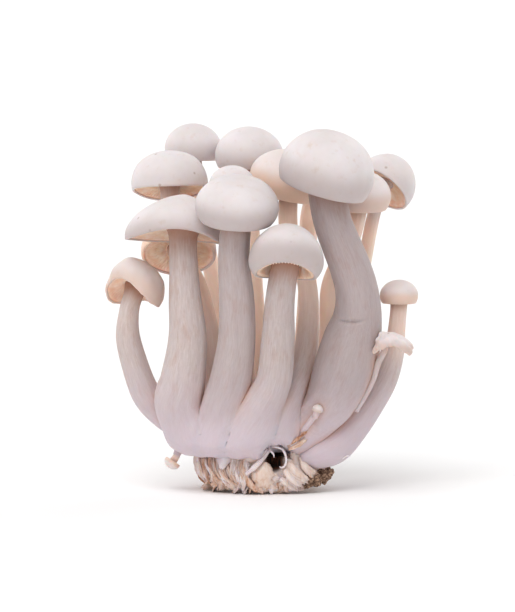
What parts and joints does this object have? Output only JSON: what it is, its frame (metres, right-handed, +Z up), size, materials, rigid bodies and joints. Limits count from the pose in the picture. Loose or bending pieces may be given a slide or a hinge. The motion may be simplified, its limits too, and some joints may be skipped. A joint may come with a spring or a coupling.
{
  "type": "white shimeji mushroom bunch",
  "caption": "Bunch of white shimeji mushrooms: smooth domed caps on long curved stems that grew from one torn, ragged foot, standing upright.",
  "frame": {"origin": "a point on the foot's flat underside, below the middle of the bunch, where it rests", "axes": "+Z up along the bunch's height; the pictured side faces -Y; +X is to the right of someone who looks at that side"},
  "size_m": [0.0846, 0.0758, 0.0985],
  "materials": {
    "white_flesh": "matt, faintly waxy",
    "torn_mycelium": "matt, fibrous",
    "dark_substrate": "matt, crumbly"
  },
  "bodies": {
    "root": {"mushroom_front_left": "white_flesh", "mushroom_left_behind": "white_flesh", "mushroom_upper_left": "white_flesh", "mushroom_top_left_back": "white_flesh", "mushroom_top_centre": "white_flesh", "mushroom_centre_hidden": "white_flesh", "mushroom_front_centre": "white_flesh", "mushroom_centre_behind": "white_flesh", "mushroom_right_large": "white_flesh", "mushroom_right_behind": "white_flesh", "mushroom_far_right": "white_flesh", "mushroom_front_low": "white_flesh", "mushroom_left_small": "white_flesh", "mushroom_right_small": "white_flesh", "mushroom_right_torn": "white_flesh", "mushroom_back_hidden": "white_flesh", "mushroom_pin_right": "white_flesh", "mushroom_pin_left": "white_flesh", "foot": "torn_mycelium", "substrate_crust": "dark_substrate"}
  },
  "joints": []
}
